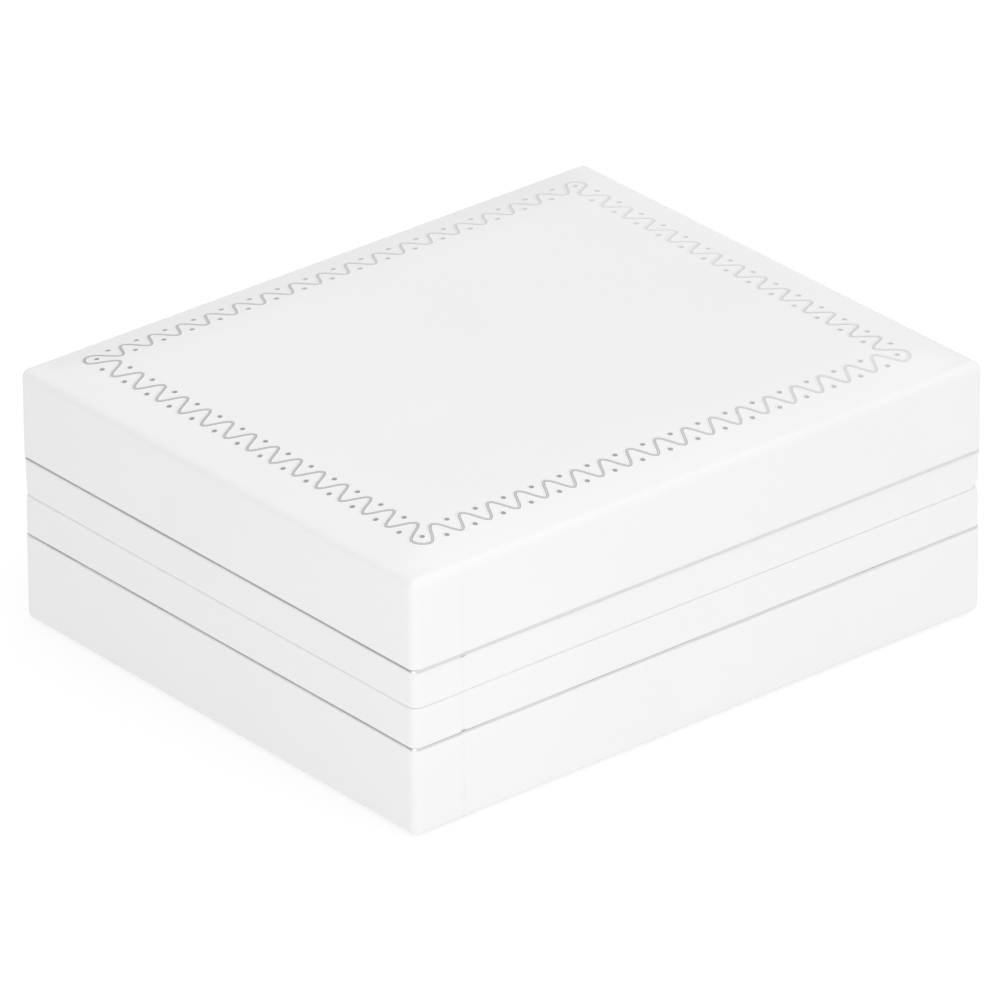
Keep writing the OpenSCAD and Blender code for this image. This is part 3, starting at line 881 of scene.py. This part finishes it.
def pressed(name, line_section, dot_section):
    """The border's wave and dots with the given sections, as one piece, and how many points the wave has."""
    line = round_the_border(side_wave(RUN_X, LONG_WAVES), side_wave(RUN_Y, SHORT_WAVES))
    dots = round_the_border(side_dots(RUN_X, LONG_WAVES), side_dots(RUN_Y, SHORT_WAVES))
    line_rows, line_faces = pressed_line(line, line_section)
    dot_rows, dot_faces = pressed_dots(dots, dot_section, len(line_rows))
    return add_mesh(name, np.concatenate([line_rows, dot_rows]), line_faces + dot_faces), len(line)


def lid_border_foil():
    """The wave has a light middle between rims with painted shade, and its dots have painted shade too."""
    piece, steps = pressed("lid_border_foil_looks", FOIL_SECTION, FOIL_DOT_SECTION)
    finish_piece(piece, "lid", "lid_border_foil", FOIL_WAVE, 60)
    piece.data.materials.append(FOIL_SHADED_RIMS)
    piece.data.materials.append(FOIL_SHADED_DOTS)
    wave_faces = steps * len(FOIL_SECTION)
    middle = range(2 * steps, 3 * steps)
    # The dots' faces and the rims' faces get the foil colours with painted shade.
    for number, face in enumerate(piece.data.polygons):
        if number >= wave_faces:
            face.material_index = 2
        elif number not in middle:
            face.material_index = 1


# ---------------------------------------------------------------- linings


def lining_section(hidden, edge, up):
    """A wall lining's section, from its hidden end to its soft edge. up is 1 on the base, -1 on the lid."""
    section = [(LINING_OUT, hidden), (LINING_OUT, edge)]
    rounding = arc(LINING_IN - SOFT_EDGE, 0, SOFT_EDGE, 90, 180, 5)
    section += [(i, edge - up * (SOFT_EDGE - z)) for i, z in rounding]
    return section + spread((LINING_IN, edge - up * SOFT_EDGE), (LINING_IN, hidden), 8)


def lining(name, body, section, cutters, material):
    piece = swept_loop(f"{name}_looks", [wall_ring(i, z) for i, z in section])
    cut(piece, cutters)
    finish_piece(piece, body, name, material)


def base_lining():
    """Velvet on the walls and on the edge of the floor."""
    low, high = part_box("base_lining")
    floor_end = LINING_IN + 12 * MM
    floor = low[2] + LINING_T
    section = lining_section(low[2], high[2], 1)
    section += [(LINING_IN, floor), (floor_end, floor), (floor_end, low[2])]
    cutters = recess_cutters("base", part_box("hinge_left_base_leaf")[0][2] - 0.2 * MM, SEAM)
    lining("base_lining", "base", section, cutters, VELVET)


def lid_lining():
    """Satin on the lid's walls."""
    low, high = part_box("lid_lining")
    section = lining_section(high[2], low[2], -1) + [(LINING_IN, high[2])]
    cutters = recess_cutters("lid", SEAM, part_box("hinge_left_lid_leaf")[1][2] + 0.2 * MM)
    lining("lid_lining", "lid", section, cutters, SATIN)


# ---------------------------------------------------------------- insert pad

SLIT_INSET = 17 * MM
SLIT_LENGTH = 9 * MM
SLIT_W = 0.5 * MM
POST_X = 7 * MM
POST_D = 1.2 * MM
RIBBON_LOW, RIBBON_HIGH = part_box("insert_ribbon")
RIBBON_SLOT_Y = RIBBON_HIGH[1] - 0.25 * MM
# Places of a pad's grid lines near its edges, in millimetres
PAD_EDGE_STEPS = (0.0, 0.12, 0.4, 0.85, 1.5, 2.4, 3.6)
PAD_RISE = 0.9 * MM
PAD_RISE_RUN = 11 * MM


def graded(low, high, cell):
    """Places from low to high, closer together near both ends."""
    edge = [step * MM for step in PAD_EDGE_STEPS]
    count = round((high - low - 2 * edge[-1]) / cell)
    middle = np.linspace(low + edge[-1], high - edge[-1], count + 1)
    return [low + step for step in edge[:-1]] + list(middle) + [high - step for step in edge[-2::-1]]


def rounded_off(away, radius):
    """How far a quarter-round edge falls back at a distance from the pad's side."""
    t = min(away, radius)
    return radius - math.sqrt(radius**2 - (radius - t) ** 2)


def pad_rise(away):
    """From 0 at a pad's side to 1 where it has swollen to its full height."""
    t = min(max(away / PAD_RISE_RUN, 0), 1)
    return 1 - (1 - t) ** 2


def pad_block(low, high, cell, bottom, top):
    """A closed slab with a fine grid. bottom and top give its heights from a place and how far in it lies."""
    xs = graded(low[0], high[0], cell)
    ys = graded(low[1], high[1], cell)
    cells_x = len(xs) - 1
    cells_y = len(ys) - 1
    vertices = []
    for face in (bottom, top):
        for y in ys:
            away_y = min(y - low[1], high[1] - y)
            for x in xs:
                away_x = min(x - low[0], high[0] - x)
                vertices.append((x, y, face(x, y, away_x, away_y)))
    layer = len(xs) * len(ys)
    faces = []
    for j in range(cells_y):
        for i in range(cells_x):
            a = j * (cells_x + 1) + i
            b = a + cells_x + 1
            faces.append((a, b, b + 1, a + 1))
            faces.append((layer + a, layer + a + 1, layer + b + 1, layer + b))
    rim = list(range(cells_x + 1))
    rim += [(j + 1) * (cells_x + 1) - 1 for j in range(1, cells_y + 1)]
    rim += [cells_y * (cells_x + 1) + i for i in range(cells_x - 1, -1, -1)]
    rim += [j * (cells_x + 1) for j in range(cells_y - 1, 0, -1)]
    for a, b in zip(rim, rim[1:] + rim[:1]):
        faces.append((a, b, layer + b, layer + a))
    return vertices, faces


def level_at(z):
    """A flat top or bottom for pad_block."""
    return lambda *_: z


def dip(x, y, centre, reach, depth):
    """A soft hollow round a place on the pad."""
    away = math.dist((x, y), centre)
    return -depth * math.exp(-((away / reach) ** 2))


def slit_middle(side):
    """The middle of the left (-1) or right (1) slit, which runs at 45 degrees across a back corner."""
    return (side * (HALF_W - SLIT_INSET), HALF_D - SLIT_INSET)


def slit_places():
    """Places along the two slits, where the pad is pulled down a little."""
    places = []
    for side in (-1, 1):
        x, y = slit_middle(side)
        for share in (-0.35, 0.0, 0.35):
            run = share * SLIT_LENGTH * 0.7
            places.append((x + side * run, y - run))
    return places


def insert_top(level):
    """The padded insert's height: crowned, rounded off at its sides, pulled down at its slits and holes."""
    slits = slit_places()
    posts = [(-POST_X, 0.0), (POST_X, 0.0)]
    edge_r = 1.2 * MM

    def height(x, y, away_x, away_y):
        z = level - rounded_off(min(away_x, away_y), edge_r) + PAD_RISE * pad_rise(away_x) * pad_rise(away_y)
        z += sum(dip(x, y, place, 2.6 * MM, 0.26 * MM) for place in slits)
        z += sum(dip(x, y, place, 2.0 * MM, 0.35 * MM) for place in posts)
        return z + 0.12 * MM * noise.noise(Vector((x, y, 0)) / (16 * MM))

    return height


def insert_velvet():
    """The velvet pad with its two slits, its two post holes and the ribbon's slot."""
    low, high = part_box("insert_velvet")
    top = insert_top(high[2] - 0.1 * MM)
    piece = add_mesh("insert_velvet_looks", *pad_block(low, high, MM, level_at(low[2]), top))
    above = high[2] + 2 * MM
    bottom = high[2] - 3.2 * MM
    cutters = []
    for side in (-1, 1):
        turn = math.radians(-45 * side)
        cutters.append(pill_cutter(slit_middle(side), turn, SLIT_LENGTH, SLIT_W, bottom, above))
        cutters.append(pill_cutter((side * POST_X, 0), 0, POST_D + CUT_PLAY, POST_D, bottom, above))
    cutters.append(pill_cutter((0, RIBBON_SLOT_Y), 0, 9.5 * MM, 0.7 * MM, bottom - 0.6 * MM, above))
    cut(piece, cutters)
    finish_piece(piece, "base", "insert_velvet", VELVET)


def insert_ribbon():
    """A folded satin tab: out of its slot, forward over the pad and back under itself."""
    half = (RIBBON_HIGH[0] - RIBBON_LOW[0]) / 2
    thick = 0.16 * MM
    slot_y = RIBBON_SLOT_Y
    top = RIBBON_HIGH[2]
    lay = top - 0.45 * MM
    front = RIBBON_LOW[1] + 0.3 * MM
    pad_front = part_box("insert_velvet")[0][1]
    path = [(slot_y + 0.12 * MM, RIBBON_LOW[2] + 0.1 * MM), (slot_y + 0.12 * MM, lay - 0.6 * MM)]
    path += [(slot_y + 0.05 * MM, lay - 0.1 * MM), (slot_y - 0.4 * MM, top - 0.12 * MM)]
    path += [(slot_y - k * (slot_y - front) / 8, top - 0.1 * MM) for k in range(1, 8)]
    path += [(front, top - 0.14 * MM), (front - 0.12 * MM, top - 0.26 * MM), (front + 0.1 * MM, lay)]
    path += [(front + k * (slot_y - front) / 8, lay - 0.02 * MM) for k in range(1, 8)]
    path += [(slot_y - 0.15 * MM, lay - 0.5 * MM), (slot_y - 0.12 * MM, RIBBON_LOW[2] + 0.1 * MM)]
    across = 8
    rows = []
    for y, z in path:
        share = min(max((slot_y - y) / (slot_y - front), 0), 1)
        lift = 0
        if z > lay - 0.2 * MM:
            lift = PAD_RISE * pad_rise(y - pad_front) + 0.7 * MM * math.sin(math.pi * share)
        for k in range(across + 1):
            x = half * (2 * k / across - 1)
            rows.append((x, y, z + lift + 0.03 * MM * math.sin(3 * math.pi * k / across)))
    faces = []
    for r in range(len(path) - 1):
        for k in range(across):
            a = r * (across + 1) + k
            faces.append((a, a + 1, a + across + 2, a + across + 1))
    piece = add_mesh("insert_ribbon_looks", rows, faces)
    solid = piece.modifiers.new("thickness", "SOLIDIFY")
    solid.thickness = thick
    solid.offset = 0
    applied(piece)
    finish_piece(piece, "base", "insert_ribbon", SATIN, 60)


# ---------------------------------------------------------------- satin pad of the lid

SIM_SCALE = 20.0
SIM_FRAMES = 25
EVENING_ROUNDS = 8
SATIN_CELL = 1.6 * MM
SATIN_PRESSURE = 6.0
SATIN_CAP = 1.2 * MM


def evened(piece, change):
    """The same movement, averaged with that of neighbouring points a few times over."""
    edges = np.array([edge.vertices[:] for edge in piece.data.edges])
    near, far = np.concatenate([edges, edges[:, ::-1]]).T
    count = np.bincount(near, minlength=len(change))[:, None]
    for _ in range(EVENING_ROUNDS):
        total = np.zeros_like(change)
        np.add.at(total, near, change[far])
        change = (change + total / count) / 2
    return change


def inflate(piece, keep_above, pressure, cap):
    """Swells a pad by cloth simulation at a larger scale, outward only and by no more than cap. Points above
    keep_above are held."""
    start = np.array([v.co for v in piece.data.vertices])
    outward = np.array([v.normal for v in piece.data.vertices])
    middle = start.mean(axis=0)
    for vertex, p in zip(piece.data.vertices, start):
        vertex.co = (p - middle) * SIM_SCALE
    held = piece.vertex_groups.new(name="held")
    held.add([k for k, p in enumerate(start) if p[2] > keep_above], 1.0, "REPLACE")
    cloth = piece.modifiers.new("cloth", "CLOTH")
    cloth.settings.quality = 6
    cloth.settings.mass = 0.3
    cloth.settings.tension_stiffness = 25
    cloth.settings.compression_stiffness = 25
    cloth.settings.shear_stiffness = 8
    cloth.settings.bending_stiffness = 0.4
    cloth.settings.use_pressure = True
    cloth.settings.uniform_pressure_force = pressure
    cloth.settings.shrink_min = -0.035
    cloth.settings.vertex_group_mass = "held"
    cloth.settings.effector_weights.gravity = 0
    cloth.collision_settings.use_collision = False
    cloth.collision_settings.use_self_collision = False
    scene = bpy.context.scene
    for step in range(1, SIM_FRAMES + 1):
        scene.frame_set(step)
    graph = bpy.context.evaluated_depsgraph_get()
    swollen = piece.evaluated_get(graph).to_mesh()
    moved = np.array([v.co for v in swollen.vertices]) / SIM_SCALE + middle
    piece.evaluated_get(graph).to_mesh_clear()
    piece.modifiers.clear()
    piece.vertex_groups.clear()
    scene.frame_set(1)
    change = evened(piece, moved - start)
    change -= outward * np.minimum((change * outward).sum(axis=1), 0)[:, None]
    size = np.linalg.norm(change, axis=1)
    change *= (np.minimum(size, cap) / np.maximum(size, 1e-9))[:, None]
    for vertex, p in zip(piece.data.vertices, start + change):
        vertex.co = p


def lid_pad_satin():
    """The lid's puffed pad, which starts smaller than its space and swells."""
    low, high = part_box("lid_pad_satin")
    side = 0.12 * MM
    block_low = (low[0] + side, low[1] + side, low[2] + 0.55 * MM)
    block_high = (high[0] - side, high[1] - side, high[2])

    def bottom(_x, _y, away_x, away_y):
        return block_low[2] + rounded_off(min(away_x, away_y), 2.6 * MM)

    block = pad_block(block_low, block_high, SATIN_CELL, bottom, level_at(high[2]))
    piece = add_mesh("lid_pad_satin_looks", *block)
    inflate(piece, high[2] - 0.1 * MM, SATIN_PRESSURE, SATIN_CAP)
    finer = piece.modifiers.new("finer", "SUBSURF")
    finer.levels = 2
    finer.render_levels = 2
    applied(piece)
    finish_piece(piece, "lid", "lid_pad_satin", SATIN, 80)


# ---------------------------------------------------------------- studio

# The camera: angles in degrees, places in metres, lens in millimetres
AZIMUTH = 39.788
ELEVATION = 26.970
ROLL = -0.405
DISTANCE = 1.5187
LOOKED_AT = (-0.00055, -0.00016, 0.01706)
LENS = 420.6
SENSOR = 36


def add_camera():
    """A long lens from the front left, a little above the box."""
    azimuth = math.radians(AZIMUTH)
    elevation = math.radians(ELEVATION)
    level = math.cos(elevation)
    ahead = Vector((level * math.sin(azimuth), level * math.cos(azimuth), -math.sin(elevation)))
    data = bpy.data.cameras.new("camera")
    data.lens = LENS
    data.sensor_width = SENSOR
    data.clip_end = 20
    camera = bpy.data.objects.new("camera", data)
    bpy.context.collection.objects.link(camera)
    place = Matrix.Translation(Vector(LOOKED_AT) - DISTANCE * ahead)
    turn = ahead.to_track_quat("-Z", "Y").to_matrix().to_4x4()
    camera.matrix_world = place @ turn @ Matrix.Rotation(math.radians(ROLL), 4, "Z")
    bpy.context.scene.camera = camera


def add_floor():
    half = 3.0
    corners = [(-half, -half, 0), (half, -half, 0), (half, half, 0), (-half, half, 0)]
    floor = add_mesh("floor", corners, [(0, 1, 2, 3)])
    floor.data.materials.append(floor_white())


def add_softbox(name, place, aim, size, power):
    """A lamp with a large face, which the camera doesn't see."""
    data = bpy.data.lights.new(name, "AREA")
    data.shape = "RECTANGLE"
    data.size = size[0]
    data.size_y = size[1]
    data.energy = power
    lamp = bpy.data.objects.new(name, data)
    bpy.context.collection.objects.link(lamp)
    lamp.location = place
    lamp.visible_camera = False
    lamp.rotation_euler = (Vector(aim) - Vector(place)).to_track_quat("-Z", "Y").to_euler()


# The surroundings' light: even everywhere, plus a lean towards one side, and never below the lowest
SKY_LEVEL = 0.565
SKY_LEAN = (0.20, -0.20, 0.64)
SKY_LOWEST = 0.2


def add_world():
    """White studio surroundings, brighter above and at the front right than low down at the back left."""
    world = bpy.data.worlds.new("studio")
    world.use_nodes = True
    nodes = world.node_tree.nodes
    links = world.node_tree.links
    background = nodes["Background"]
    background.inputs["Color"].default_value = (1, 1, 1, 1)
    direction = nodes.new("ShaderNodeTexCoord").outputs["Generated"]
    lean = nodes.new("ShaderNodeVectorMath")
    lean.operation = "DOT_PRODUCT"
    lean.inputs[1].default_value = SKY_LEAN
    links.new(direction, lean.inputs[0])
    level = nodes.new("ShaderNodeMath")
    level.operation = "ADD"
    level.inputs[1].default_value = SKY_LEVEL
    links.new(lean.outputs["Value"], level.inputs[0])
    lowest = nodes.new("ShaderNodeMath")
    lowest.operation = "MAXIMUM"
    lowest.inputs[1].default_value = SKY_LOWEST
    links.new(level.outputs[0], lowest.inputs[0])
    links.new(lowest.outputs[0], background.inputs["Strength"])
    bpy.context.scene.world = world


def light_the_scene():
    add_world()
    middle = (0, 0, 0.02)
    add_softbox("top_softbox", place=(0, -0.15, 0.9), aim=middle, size=(0.7, 0.7), power=0.45)
    add_softbox("left_softbox", place=(-0.28, -0.20, 0.08), aim=middle, size=(0.15, 0.15), power=0.155)
    scene = bpy.context.scene
    scene.view_settings.view_transform = "Standard"
    scene.view_settings.look = "None"
    scene.view_settings.exposure = 0
    scene.view_settings.gamma = 1


# ---------------------------------------------------------------- the whole box

add_camera()
dress_kept_nodes()
base_wrap()
base_rim_strip()
trim_line("base_trim_line", "base", BASE_TRIM_LOW, BASE_TRIM_HIGH, seed=6, lean=0.1 * MM)
lid_wrap()
lid_rim_strip()
trim_line("lid_trim_line", "lid", LID_TRIM_LOW, LID_TRIM_HIGH, seed=7, lean=0.22 * MM)
lid_border_foil()
base_lining()
lid_lining()
insert_velvet()
insert_ribbon()
lid_pad_satin()
add_floor()
light_the_scene()
